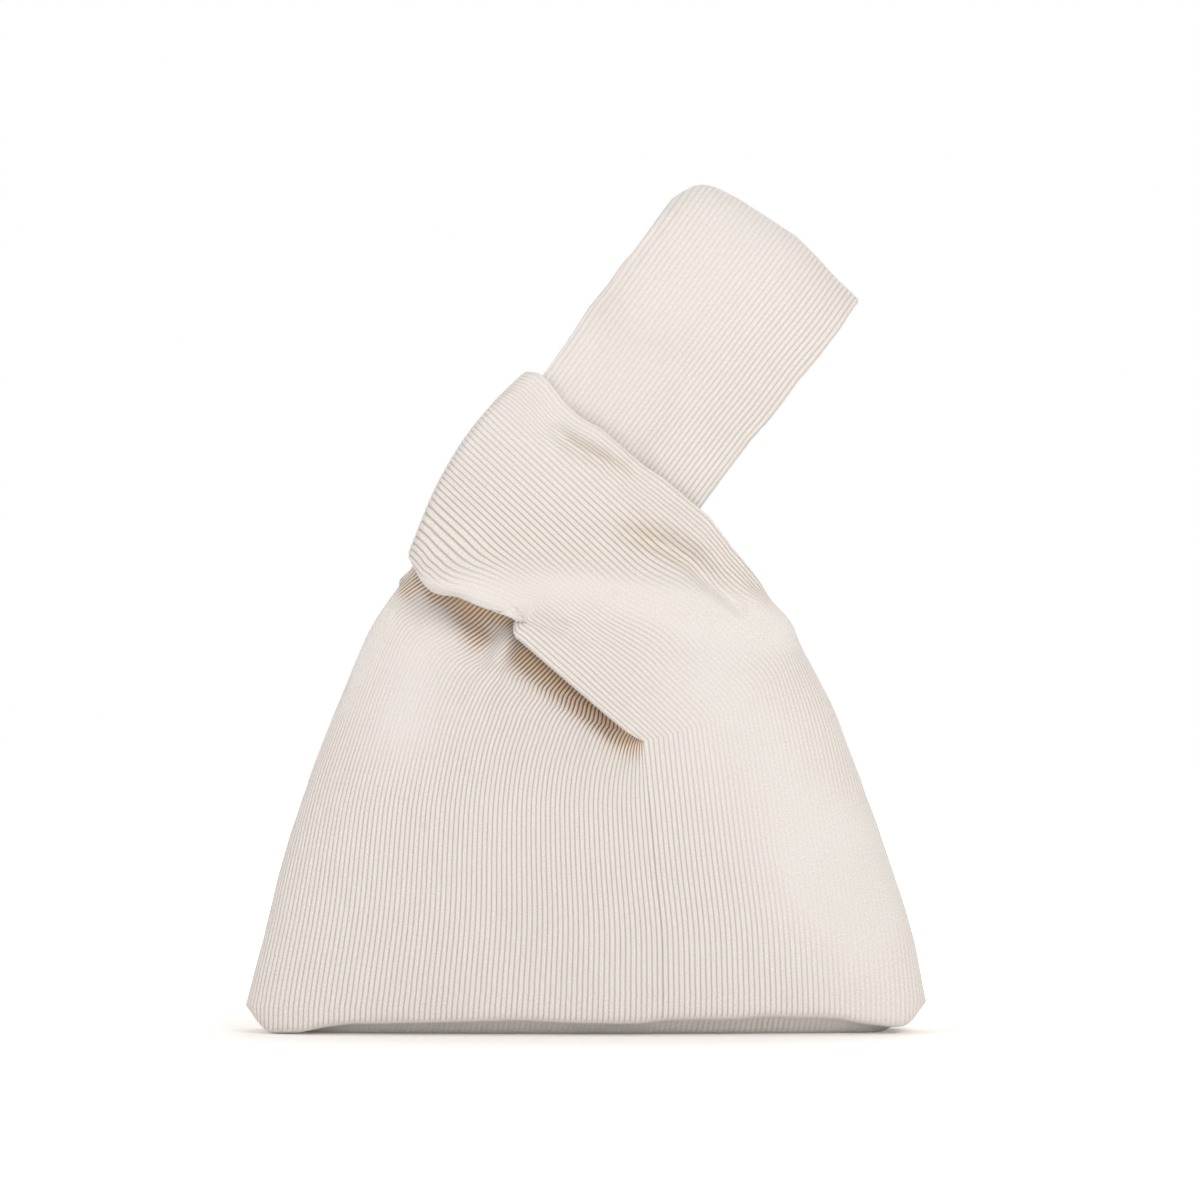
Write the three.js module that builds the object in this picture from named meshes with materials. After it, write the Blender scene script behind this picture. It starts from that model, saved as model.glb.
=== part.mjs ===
// A knotted wristlet: a soft lined corduroy pouch with two handles cut in one with its front and
// back. The long handle is drawn through the short one, which wraps round it and closes the mouth.
// Millimetres. +Z is up, the front faces -Y, and the origin is under the middle of the base.
import * as THREE from "three";

// Cloth
const CORDUROY = 1.4;
const LINING = 0.5;
const SEAM_TAPE = 0.8;
const PLAY = 0.3;

// Pouch
const BASE_WIDTH = 230;
const BASE_DEPTH = 58;
const BASE_EDGE = 9;
const BASE_SEAM_SHORT = 24;
const SHOULDER_WIDTH = 127;
const SHOULDER_LEAN = -2;
const SHOULDER_DEPTH = 24;
const SHOULDER_HEIGHT = 152;
const SIDE_BELLY = 6;
const FRONT_BELLY = 5;
const SIDE_ROUND_LOW = 0.55;
const SIDE_ROUND_HIGH = 0.84;

// Neckline between the two handles, and the tops of the side seams
const NECKLINE_X = 19.3;
const NECKLINE_HEIGHT = 98.8;
const NECKLINE_WIDTH = 8;
const LEFT_SEAM_TOP = 154;
const RIGHT_SEAM_TOP = 138.4;
const TUCK_SHARE = 0.45;
const KNOT_PINCH = 7;
const PINCH_FOOT = 134;

// Knot mouth, where the long handle comes out of the short one
const MOUTH_X = 11.8;
const MOUTH_HEIGHT = 198.7;
const HANDLE_SLOPE = THREE.MathUtils.degToRad(53.25);
const HANDLE_WIDTH = 71.5;
const NECK_HALF = 4.6;
const NECK_CROWN = 0.8;
const NECK_PLAY = 0.45;
const NECK_IN_KNOT = 33;

// Short handle, wrapped round the neck of the long one
const WRAP_LENGTH = 74.4;
const WRAP_TOP_DROP = 1.6;
const WRAP_FOLD_LOW = 33.2;
const WRAP_FOLD_HIGH = 42.2;
const WRAP_FOLD_BELLY = 6;
const WRAP_FOLD_DEEP = 10;
const WRAP_LIP = 20.5;

// Wrist loop, the free part of the long handle
const LOOP_LENGTH = 84.5;
const LOOP_CROWN = 7;
const LOOP_HALF = 13;
const LOOP_NOSE = 24;

// How far the long handle slips back into the knot
const SLIP_IN = 4;

const SKIN = CORDUROY + PLAY + LINING;
const POCKET = SEAM_TAPE + PLAY;
const HALF_SEAM = PLAY / 2;
const ROOT_PLAY = 1.3 * PLAY;
const TAPE_HALF = 6;
const TAPE_SHARE = 0.6;
const SEAM_TOP = 2.7;

const mix = THREE.MathUtils.lerp;
const ease = (share) => THREE.MathUtils.smoothstep(share, 0, 1);
const hump = (share) => 4 * share * (1 - share);
const spaced = (from, to, count) =>
  Array.from({ length: count + 1 }, (_, i) => mix(from, to, i / count));

// A closed solid from the cells of a grid of points: the outer face lies `under` the points, and
// the inner one `thick` deeper. `keep` says which cells the cloth has.
function clothGeometry({ across, along, point, under = () => 0, thick, keep = () => true }) {
  const nudge = 1e-4;
  const columns = across.length;
  const rows = along.length;
  const uLimits = [Math.min(...across), Math.max(...across)];
  const vLimits = [Math.min(...along), Math.max(...along)];
  const within = (value, [low, high]) => Math.min(high, Math.max(low, value));
  const outwards = (u, v) => {
    const overU = point(within(u + nudge, uLimits), v).sub(point(within(u - nudge, uLimits), v));
    const overV = point(u, within(v + nudge, vLimits)).sub(point(u, within(v - nudge, vLimits)));
    return overU.normalize().cross(overV.normalize()).normalize();
  };
  const corners = [];
  for (const side of [0, 1])
    for (const v of along)
      for (const u of across) {
        const depth = under(u, v) + side * thick;
        corners.push(...point(u, v).addScaledVector(outwards(u, v), -depth).toArray());
      }
  const at = (side, i, j) => side * columns * rows + j * columns + i;
  const has = (i, j) =>
    i >= 0 && j >= 0 && i < columns - 1 && j < rows - 1 && keep(i, j, across, along);
  const faces = [];
  const quad = (a, b, c, d) => faces.push(a, b, c, a, c, d);
  for (let j = 0; j < rows - 1; j++)
    for (let i = 0; i < columns - 1; i++) {
      if (!has(i, j)) continue;
      quad(at(0, i, j), at(0, i + 1, j), at(0, i + 1, j + 1), at(0, i, j + 1));
      quad(at(1, i, j), at(1, i, j + 1), at(1, i + 1, j + 1), at(1, i + 1, j));
      if (!has(i, j - 1)) quad(at(0, i, j), at(1, i, j), at(1, i + 1, j), at(0, i + 1, j));
      if (!has(i + 1, j))
        quad(at(0, i + 1, j), at(1, i + 1, j), at(1, i + 1, j + 1), at(0, i + 1, j + 1));
      if (!has(i, j + 1))
        quad(at(0, i + 1, j + 1), at(1, i + 1, j + 1), at(1, i, j + 1), at(0, i, j + 1));
      if (!has(i - 1, j)) quad(at(0, i, j + 1), at(1, i, j + 1), at(1, i, j), at(0, i, j));
    }
  const used = [...new Set(faces)];
  const place = new Map(used.map((corner, i) => [corner, i]));
  const geometry = new THREE.BufferGeometry();
  const positions = used.flatMap((corner) => corners.slice(3 * corner, 3 * corner + 3));
  geometry.setAttribute("position", new THREE.Float32BufferAttribute(positions, 3));
  geometry.setIndex(faces.map((corner) => place.get(corner)));
  geometry.computeVertexNormals();
  return geometry;
}

// The pouch's outline, side half width and front depth at a height
const rise = (z) => THREE.MathUtils.clamp((z - BASE_EDGE) / (SHOULDER_HEIGHT - BASE_EDGE), 0, 1.2);
const sideAt = (z) =>
  mix(BASE_WIDTH, SHOULDER_WIDTH, rise(z)) / 2 + SIDE_BELLY * hump(rise(z));
const leanAt = (z) => SHOULDER_LEAN * rise(z) ** 3;
const depthAt = (z) =>
  mix(BASE_DEPTH, SHOULDER_DEPTH, rise(z)) / 2 + FRONT_BELLY * hump(Math.min(1, rise(z)));
const roundAt = (z) => mix(SIDE_ROUND_LOW, SIDE_ROUND_HIGH, Math.min(1, rise(z)));

// A column of the pouch runs up the cloth: -1 is the left side seam and 1 the right one
const sideShare = (t) => Math.sin((Math.PI * t) / 2);
const depthShare = (t, power) => Math.max(0, Math.cos((Math.PI * t) / 2)) ** power;
const columnAt = (x, z) => (2 / Math.PI) * Math.asin((x - leanAt(z)) / sideAt(z));
const NECKLINE_RIGHT = columnAt(NECKLINE_X, NECKLINE_HEIGHT);
const NECKLINE_LEFT = columnAt(NECKLINE_X - NECKLINE_WIDTH, NECKLINE_HEIGHT);

// The knot's own frame: p along the long handle out of the knot, q across it, from the mouth
const ALONG_HANDLE = new THREE.Vector3(Math.cos(HANDLE_SLOPE), 0, Math.sin(HANDLE_SLOPE));
const ACROSS_HANDLE = new THREE.Vector3(Math.sin(HANDLE_SLOPE), 0, -Math.cos(HANDLE_SLOPE));
const MOUTH = new THREE.Vector3(MOUTH_X, 0, MOUTH_HEIGHT);
const knotPoint = (p, q, y) =>
  MOUTH.clone().addScaledVector(ALONG_HANDLE, p).addScaledVector(ACROSS_HANDLE, q).setY(y);
const knotPlace = (point) => {
  const from = point.clone().sub(MOUTH);
  return { p: from.dot(ALONG_HANDLE), q: from.dot(ACROSS_HANDLE) };
};

// Stations up the cloth of the pouch: base seam, base edge, wall, neckline, and knot
const BASE_FLAT = 1;
const WALL_FOOT = 2;
const NECKLINE = 3;
const IN_KNOT = 4;

// How high the neckline's row of the cloth lies in each column
function necklineHeight(t) {
  if (t < NECKLINE_LEFT)
    return mix(LEFT_SEAM_TOP, NECKLINE_HEIGHT, (t + 1) / (NECKLINE_LEFT + 1));
  if (t < NECKLINE_RIGHT) return NECKLINE_HEIGHT;
  return mix(NECKLINE_HEIGHT, RIGHT_SEAM_TOP, (t - NECKLINE_RIGHT) / (1 - NECKLINE_RIGHT));
}

// Left of the neckline the front is drawn back under the short handle
const tuckAt = (t, climb) =>
  TUCK_SHARE *
  ease((climb - 0.72) / 0.28) *
  ease((NECKLINE_RIGHT - t) / (1.6 * (NECKLINE_RIGHT - NECKLINE_LEFT)));

// The short handle's fold grips the top of the left side seam
const pinchAt = (t, z) =>
  KNOT_PINCH * ease((z - PINCH_FOOT) / (LEFT_SEAM_TOP - PINCH_FOOT)) * ease(-t / 0.9);

const neckDepth = (q) => NECK_HALF - NECK_CROWN + NECK_CROWN * Math.cos((Math.PI * q) / HANDLE_WIDTH);

// A point of the pouch's front in column t, at station v up the cloth
function pouchPoint(t, v) {
  if (v <= BASE_FLAT) {
    const seam = (sideAt(0) - BASE_EDGE - BASE_SEAM_SHORT) * sideShare(t);
    const edge = (sideAt(0) - BASE_EDGE) * sideShare(t);
    const depth = (depthAt(0) - BASE_EDGE) * depthShare(t, roundAt(0));
    return new THREE.Vector3(mix(seam, edge, v), -HALF_SEAM - v * depth, 0);
  }
  if (v <= WALL_FOOT) {
    const turn = (v - BASE_FLAT) * (Math.PI / 2);
    const inwards = BASE_EDGE * (1 - Math.sin(turn));
    const depth = (depthAt(0) - inwards) * depthShare(t, roundAt(0));
    const height = BASE_EDGE * (1 - Math.cos(turn));
    return new THREE.Vector3((sideAt(0) - inwards) * sideShare(t), -HALF_SEAM - depth, height);
  }
  const climb = Math.min(1, v - WALL_FOOT);
  const height = mix(BASE_EDGE, necklineHeight(t), climb);
  const depth = depthAt(height) * depthShare(t, roundAt(height)) * (1 - tuckAt(t, climb));
  const x = leanAt(height) + sideAt(height) * sideShare(t) + pinchAt(t, height);
  const wall = new THREE.Vector3(x, -HALF_SEAM - depth, height);
  if (v <= NECKLINE) return wall;
  const handleShare = (t + 1) / (NECKLINE_LEFT + 1);
  const q = mix(-0.5, 0.5, handleShare) * (HANDLE_WIDTH - 2 * NECK_CROWN);
  const neck = knotPoint(-NECK_IN_KNOT - SLIP_IN - 1, q, -neckDepth(q));
  const up = v - NECKLINE;
  const y = mix(wall.y, neck.y, 1 - (1 - up) ** 2);
  return wall.lerp(neck, up).setY(y);
}

// A point of the short handle's front. u runs from the fold on the left (0), round it (1), and on
// to the pouch's right shoulder (2), and v from the lower lip (0) to the mouth's edge (1).
function wrapPoint(u, v) {
  const root = pouchPoint(mix(NECKLINE_RIGHT, 1, v), NECKLINE);
  const from = knotPlace(root);
  const fold = -(mix(WRAP_FOLD_LOW, WRAP_FOLD_HIGH, v) + WRAP_FOLD_BELLY * hump(v));
  const foldAlong = mix(-WRAP_TOP_DROP - WRAP_LENGTH, -WRAP_TOP_DROP, v);
  const mouthDepth = NECK_HALF + NECK_PLAY + SKIN;
  const knotDepth = mix(mouthDepth, WRAP_LIP, (1 - v) ** 1.5);
  if (u <= 1) {
    const turn = u * (Math.PI / 2);
    const q = fold + WRAP_FOLD_DEEP * (1 - Math.cos(turn));
    return knotPoint(foldAlong, q, -HALF_SEAM - knotDepth * Math.sin(turn));
  }
  const back = 2 - u;
  const q = mix(from.q - ROOT_PLAY, fold + WRAP_FOLD_DEEP, back);
  const p = mix(from.p, foldAlong, 1 - (1 - back) ** 3.5);
  const depth = mix(-root.y - HALF_SEAM, knotDepth, ease(back / 0.4));
  return knotPoint(p, q, -HALF_SEAM - depth);
}

// The hinge line about which the wrist loop flops, just outside the mouth
const BEND_ALONG = SLIP_IN + NECK_HALF + 2 * PLAY;

// A point of the neck, the long handle's stretch inside the knot
const neckPoint = (q, p) => knotPoint(p, q, -neckDepth(q));

// A point of the wrist loop's front. q runs across the handle, and v from the bend at its foot (0),
// up the flank (1 to 2), to the seam at its top (3).
function loopPoint(q, v) {
  const length = LOOP_LENGTH - BEND_ALONG + LOOP_CROWN * (1 - ((2 * q) / HANDLE_WIDTH) ** 2);
  if (v <= 1) {
    const turn = v * (Math.PI / 2);
    const p = BEND_ALONG - NECK_HALF * Math.cos(turn);
    return knotPoint(p, q, -HALF_SEAM - NECK_HALF * Math.sin(turn));
  }
  if (v <= 2) {
    const p = BEND_ALONG + (v - 1) * (length - LOOP_NOSE);
    return knotPoint(p, q, -HALF_SEAM - mix(NECK_HALF, LOOP_HALF, ease(v - 1)));
  }
  const turn = (v - 2) * (Math.PI / 2);
  const p = BEND_ALONG + length - LOOP_NOSE * (1 - Math.sin(turn));
  return knotPoint(p, q, -HALF_SEAM - LOOP_HALF * Math.cos(turn));
}

const corduroy = new THREE.MeshStandardMaterial({ color: 0xe9e0d8, roughness: 0.95 });
const liningCotton = new THREE.MeshStandardMaterial({ color: 0xe4d6c4, roughness: 0.85 });
const seamTape = new THREE.MeshStandardMaterial({ color: 0xddd0c2, roughness: 0.9 });

const wristlet = new THREE.Group();

function addPiece(name, material, options, mirrored = false) {
  const mesh = new THREE.Mesh(clothGeometry(options), material);
  mesh.name = name;
  if (mirrored) mesh.scale.y = -1;
  wristlet.add(mesh);
}

// A front piece and its mirror image at the back
function addPair(frontName, backName, material, options) {
  addPiece(frontName, material, options);
  addPiece(backName, material, options, true);
}

// Corduroy front and back, each with the root of its long handle
const panelColumns = (left, right) => [
  ...spaced(-1, NECKLINE_LEFT, left),
  ...spaced(NECKLINE_RIGHT, 1, right),
];
const panelStations = (base, edge, wall, handle) => [
  ...spaced(0, BASE_FLAT, base),
  ...spaced(BASE_FLAT, WALL_FOOT, edge).slice(1),
  ...spaced(WALL_FOOT, NECKLINE, wall).slice(1),
  ...spaced(NECKLINE, IN_KNOT, handle).slice(1),
];
const belowNecklineOrHandle = (i, j, across, along) =>
  along[j] < NECKLINE - 1e-6 || across[i + 1] <= NECKLINE_LEFT + 1e-6;

const panelGrid = { across: panelColumns(12, 9), along: panelStations(2, 3, 10, 4) };
addPair("outer_front_panel", "outer_back_panel", corduroy, {
  ...panelGrid,
  point: pouchPoint,
  thick: CORDUROY,
  keep: belowNecklineOrHandle,
});

addPair("lining_front_panel", "lining_back_panel", liningCotton, {
  ...panelGrid,
  point: pouchPoint,
  under: (t, v) => CORDUROY + PLAY + POCKET * (1 - ease((v - SEAM_TOP) / 0.2)),
  thick: LINING,
  keep: belowNecklineOrHandle,
});

// Short handle, corduroy and lining
const wrapGrid = {
  across: [...spaced(0, 1, 4), ...spaced(1, 2, 9).slice(1)],
  along: spaced(0, 1, 8),
};
addPair("short_handle_front", "short_handle_back", corduroy, {
  ...wrapGrid,
  point: wrapPoint,
  thick: CORDUROY,
});
addPair("short_handle_front_lining", "short_handle_back_lining", liningCotton, {
  ...wrapGrid,
  point: wrapPoint,
  under: (u) => CORDUROY + PLAY + POCKET * (1 - ease((u - 0.3) / 0.6)),
  thick: LINING,
});

// Neck of the long handle
const neckFoot = -NECK_IN_KNOT;
const neckEnd = BEND_ALONG - NECK_HALF - PLAY;
const neckAcross = spaced(-HANDLE_WIDTH / 2 + NECK_CROWN, HANDLE_WIDTH / 2 - NECK_CROWN, 6);
addPair("long_handle_neck_front", "long_handle_neck_back", corduroy, {
  across: neckAcross,
  along: spaced(neckFoot, neckEnd, 2),
  point: neckPoint,
  thick: CORDUROY,
});
addPair("long_handle_neck_front_lining", "long_handle_neck_back_lining", liningCotton, {
  across: neckAcross,
  along: spaced(neckFoot, neckEnd, 2),
  point: neckPoint,
  under: () => CORDUROY + PLAY,
  thick: LINING,
});

// Wrist loop
const loopGrid = {
  across: spaced(-HANDLE_WIDTH / 2, HANDLE_WIDTH / 2, 8),
  along: [...spaced(0, 1, 3), ...spaced(1, 2, 6).slice(1), ...spaced(2, 3, 6).slice(1)],
};
addPair("wrist_loop_front", "wrist_loop_back", corduroy, {
  ...loopGrid,
  point: loopPoint,
  thick: CORDUROY,
});
addPair("wrist_loop_front_lining", "wrist_loop_back_lining", liningCotton, {
  ...loopGrid,
  point: loopPoint,
  under: (q, v) => CORDUROY + PLAY + POCKET * ease((v - 2.2) / 0.5),
  thick: LINING,
});

// Seam allowances, pressed open between the corduroy and the lining
for (const [name, side] of [
  ["left_side_seam", -1],
  ["right_side_seam", 1],
])
  addPiece(name, seamTape, {
    across: [-TAPE_SHARE, 0, TAPE_SHARE],
    along: panelGrid.along.filter((v) => v > WALL_FOOT && v < SEAM_TOP + 1e-6),
    point: (s, v) => {
      const next = side < 0 ? panelGrid.across.at(1) : panelGrid.across.at(-2);
      const half = pouchPoint(side, v).lerp(pouchPoint(next, v), Math.abs(s));
      return half.setY(s === 0 ? 0 : side * Math.sign(s) * -half.y);
    },
    under: () => CORDUROY + PLAY,
    thick: SEAM_TAPE,
  });

const baseSeamHalf = sideAt(0) - 2 * BASE_EDGE;
addPiece("bottom_seam", seamTape, {
  across: spaced(-baseSeamHalf, baseSeamHalf, 2),
  along: spaced(-TAPE_HALF, TAPE_HALF, 2),
  point: (x, y) => new THREE.Vector3(x, -y, 0),
  under: () => CORDUROY + PLAY,
  thick: SEAM_TAPE,
});

// The short handle's front and back are joined at its fold, and the wrist loop's at its top
addPiece("short_handle_seam", seamTape, {
  across: [-0.25, 0, 0.25],
  along: spaced(0.125, 0.875, 6),
  point: (u, v) => {
    const half = wrapPoint(Math.abs(u), v);
    return half.setY(Math.sign(u) * half.y);
  },
  under: () => CORDUROY + PLAY,
  thick: SEAM_TAPE,
});
addPiece("wrist_loop_seam", seamTape, {
  across: loopGrid.across.slice(1, -1),
  along: [-1 / 3, -1 / 6, 0, 1 / 6, 1 / 3],
  point: (q, v) => {
    const half = loopPoint(q, 3 - Math.abs(v));
    return half.setY(Math.sign(v) * -half.y);
  },
  under: () => CORDUROY + PLAY,
  thick: SEAM_TAPE,
});

export default wristlet;
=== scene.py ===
import math

import bpy
import numpy as np
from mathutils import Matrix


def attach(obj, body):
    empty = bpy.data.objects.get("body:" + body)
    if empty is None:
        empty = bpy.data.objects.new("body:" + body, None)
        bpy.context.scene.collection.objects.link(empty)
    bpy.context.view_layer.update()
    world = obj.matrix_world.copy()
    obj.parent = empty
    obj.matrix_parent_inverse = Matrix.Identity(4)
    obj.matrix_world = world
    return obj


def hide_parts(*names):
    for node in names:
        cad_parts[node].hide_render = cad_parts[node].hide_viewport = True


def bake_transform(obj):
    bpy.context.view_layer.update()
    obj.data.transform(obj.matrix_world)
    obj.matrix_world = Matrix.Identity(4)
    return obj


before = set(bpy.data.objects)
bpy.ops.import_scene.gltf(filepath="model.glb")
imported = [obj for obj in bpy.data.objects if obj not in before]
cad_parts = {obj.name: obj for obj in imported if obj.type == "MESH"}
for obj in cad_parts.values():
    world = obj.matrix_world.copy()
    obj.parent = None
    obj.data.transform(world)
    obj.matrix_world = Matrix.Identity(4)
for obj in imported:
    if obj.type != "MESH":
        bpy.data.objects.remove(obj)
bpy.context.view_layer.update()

# The pouch. A stuffed bag of fine cream corduroy that stands on a flat base and narrows to a knot.
# Its front and back are each cut in one with half of a short and half of a long handle, and the
# neckline between the two handles starts right of the middle. Sizes are in metres.
BASE_WIDTH = 0.23
BASE_DEPTH = 0.058
BASE_EDGE = 0.009
BASE_SEAM_SHORT = 0.024
SHOULDER_WIDTH = 0.127
SHOULDER_LEAN = -0.002
SHOULDER_DEPTH = 0.024
SHOULDER_HEIGHT = 0.152
RISE_LIMIT = 1.2
SIDE_BELLY = 0.006
FRONT_BELLY = 0.005
SIDE_ROUND_LOW = 0.55
SIDE_ROUND_HIGH = 0.84
NECKLINE = (0.0193, 0.0988)
NECKLINE_WIDTH = 0.008
LEFT_SEAM_TOP = 0.154
RIGHT_SEAM_TOP = 0.1384
TUCK_SHARE = 0.45
TUCK_FROM = 0.72
TUCK_RUN = 0.28
TUCK_SPREAD = 1.6
KNOT_PINCH = 0.003
PINCH_FOOT = 0.134
PINCH_ACROSS = 0.9
BASE_SQUARE = 0.4
CORNER_SQUARE = 1.9
CORNER_FROM = 0.75
CORNER_RUN = 0.25
BASE_LIFT = ((-0.108, -0.095, -0.089, -0.08, -0.05, -0.022, -0.005, 0.018, 0.027, 0.052,
              0.063, 0.07, 0.083, 0.09, 0.1, 0.112),
             (0, 0.0006, 0.0022, 0.0036, 0.0042, 0.0049, 0.0041, 0.0039, 0.0051, 0.0055,
              0.0063, 0.0057, 0.0056, 0.004, 0.0026, 0.0012))
LIFT_SOFTEN = np.linspace(-0.0025, 0.0025, 5)
BASE_LIFT_FADE = 0.012
BASE_LIFT_FROM = 0.72
BASE_LIFT_RUN = 0.28
LOW_LEAN = 0.0009
LOW_LEAN_HEIGHT = 0.034
LOW_LEAN_WIDTH = 0.017
SEAM_TOP_DRAWN = 0.0005
SEAM_TOP_RUN = 0.003
SHOULDER_PUFF = 0.002
PUFF_HEIGHT = 0.14
PUFF_WIDTH = 0.009


def mix(a, b, share):
    return a + (b - a) * share


def ease(share):
    share = np.clip(share, 0, 1)
    return share * share * (3 - 2 * share)


def hump(share):
    return 4 * share * (1 - share)


def bell(away, width):
    return np.exp(-(away / width) ** 2)


def soft_table(place, table, soften):
    """The values of a table, evened out over small shifts to both sides."""
    return sum(np.interp(place + shift, *table) for shift in soften) / len(soften)


def rise(z):
    return np.clip((z - BASE_EDGE) / (SHOULDER_HEIGHT - BASE_EDGE), 0, RISE_LIMIT)


def side_at(z):
    return mix(BASE_WIDTH, SHOULDER_WIDTH, rise(z)) / 2 + SIDE_BELLY * hump(rise(z))


def lean_at(z):
    return SHOULDER_LEAN * rise(z) ** 3 + LOW_LEAN * bell(z - LOW_LEAN_HEIGHT, LOW_LEAN_WIDTH)


def depth_at(z):
    low = np.minimum(1, rise(z))
    return mix(BASE_DEPTH, SHOULDER_DEPTH, rise(z)) / 2 + FRONT_BELLY * hump(low)


def round_at(z):
    return mix(SIDE_ROUND_LOW, SIDE_ROUND_HIGH, np.minimum(1, rise(z)))


def side_share(t):
    return np.sin(math.pi / 2 * t)


def depth_share(t, power):
    return np.maximum(0, np.cos(math.pi / 2 * t)) ** power


def column_at(x, z):
    return 2 / math.pi * math.asin((x - lean_at(z)) / side_at(z))


NECKLINE_RIGHT = column_at(*NECKLINE)
NECKLINE_LEFT = column_at(NECKLINE[0] - NECKLINE_WIDTH, NECKLINE[1])

# The knot's mouth, where the long handle comes out of the short one. p runs along the long handle
# out of the knot, and q across it to the right.
MOUTH = (0.0118, 0.1987)
HANDLE_SLOPE = math.radians(53.25)
HANDLE_WIDTH = 0.0715
NECK_HALF = 0.004
NECK_CROWN = 0.0008
NECK_ROOT = -0.038
NECK_END = -0.01
ALONG = np.array([math.cos(HANDLE_SLOPE), 0, math.sin(HANDLE_SLOPE)])
ACROSS = np.array([math.sin(HANDLE_SLOPE), 0, -math.cos(HANDLE_SLOPE)])


def knot_point(p, q, y):
    p, q, y = np.broadcast_arrays(p, q, y)
    x = MOUTH[0] + p * ALONG[0] + q * ACROSS[0]
    z = MOUTH[1] + p * ALONG[2] + q * ACROSS[2]
    return np.stack([x, y, z], axis=-1)


def knot_place(points):
    x, z = points[..., 0] - MOUTH[0], points[..., 2] - MOUTH[1]
    return x * ALONG[0] + z * ALONG[2], x * ACROSS[0] + z * ACROSS[2]


def neck_depth(q):
    return NECK_HALF - NECK_CROWN + NECK_CROWN * np.cos(math.pi * q / HANDLE_WIDTH)


def neckline_height(t):
    left = mix(LEFT_SEAM_TOP, NECKLINE[1], (t + 1) / (NECKLINE_RIGHT + 1))
    right = mix(NECKLINE[1], RIGHT_SEAM_TOP, (t - NECKLINE_RIGHT) / (1 - NECKLINE_RIGHT))
    return np.where(t < NECKLINE_RIGHT, left, right)


def pouch_point(t, v):
    """The front of the pouch: t from the left seam (-1) to the right one (1), v up the cloth."""
    t, v = np.broadcast_arrays(t, v)
    share = np.clip(v, 0, 1)
    low = (side_at(0) - BASE_EDGE - BASE_SEAM_SHORT * (1 - share)) * side_share(t)
    low_depth = (depth_at(0) - BASE_EDGE) * depth_share(t, round_at(0))
    base = np.stack([low, -share * low_depth, 0 * low], axis=-1)

    turn = np.clip(v - 1, 0, 1) * math.pi / 2
    square = mix(BASE_SQUARE, CORNER_SQUARE, ease((np.abs(t) - CORNER_FROM) / CORNER_RUN))
    outwards = np.sin(turn) ** square
    inwards = BASE_EDGE * (1 - outwards)
    edge_depth = (depth_at(0) - inwards) * depth_share(t, round_at(0))
    edge_x = (side_at(0) - inwards) * side_share(t)
    upwards = 1 - np.maximum(0, np.cos(turn)) ** square
    edge = np.stack([edge_x, -edge_depth, BASE_EDGE * upwards], axis=-1)

    climb = np.clip(v - 2, 0, 1)
    z = mix(BASE_EDGE, neckline_height(t), climb)
    near_neckline = (NECKLINE_RIGHT - t) / (TUCK_SPREAD * (NECKLINE_RIGHT - NECKLINE_LEFT))
    tuck = TUCK_SHARE * ease((climb - TUCK_FROM) / TUCK_RUN) * ease(near_neckline)
    wall_depth = depth_at(z) * depth_share(t, round_at(z)) * (1 - tuck)
    pinch = KNOT_PINCH * ease((z - PINCH_FOOT) / (LEFT_SEAM_TOP - PINCH_FOOT))
    pinch = (pinch - SHOULDER_PUFF * bell(z - PUFF_HEIGHT, PUFF_WIDTH)) * ease(-t / PINCH_ACROSS)
    drawn = SEAM_TOP_DRAWN * bell(z - RIGHT_SEAM_TOP, SEAM_TOP_RUN) * ease((t - 0.5) / 0.5)
    wall = np.stack([lean_at(z) + side_at(z) * side_share(t) + pinch - drawn, -wall_depth, z], axis=-1)

    q = mix(-0.5, 0.5, (t + 1) / (NECKLINE_RIGHT + 1)) * (HANDLE_WIDTH - 2 * NECK_CROWN)
    up = np.clip(v - 3, 0, 1)
    neck = knot_point(mix(NECK_ROOT, NECK_END, np.clip(v - 4, 0, 1)), q, -neck_depth(q))
    knot = mix(wall, neck, up[..., None])
    knot[..., 1] = mix(wall[..., 1], neck[..., 1], 1 - (1 - up) ** 2)

    cloth = np.where((v <= 3)[..., None], wall, knot)
    cloth = np.where((v <= 2)[..., None], edge, cloth)
    cloth = np.where((v <= 1)[..., None], base, cloth)
    arch = soft_table(cloth[..., 0], BASE_LIFT, LIFT_SOFTEN) * ease((v - BASE_LIFT_FROM) / BASE_LIFT_RUN)
    cloth[..., 2] += arch * np.exp(-np.maximum(0, cloth[..., 2] - BASE_EDGE) / BASE_LIFT_FADE)
    return cloth


# The short handle is wrapped round the neck of the long one: its front runs from the right
# shoulder up to the left, folds there, and comes back behind. Its lower edge, the lip, has a pleat.
WRAP_LENGTH = 0.0744
WRAP_TOP_DROP = 0.0016
WRAP_FOLD_LOW = 0.0332
WRAP_FOLD_HIGH = 0.0412
WRAP_FOLD_BELLY = 0.006
WRAP_FOLD_DEEP = 0.01
WRAP_LIP = 0.0205
WRAP_MOUTH = 0.00725
WRAP_FLARE = 1.5
WRAP_TURN = 3.5
WRAP_DEEP_BY = 0.4


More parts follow.
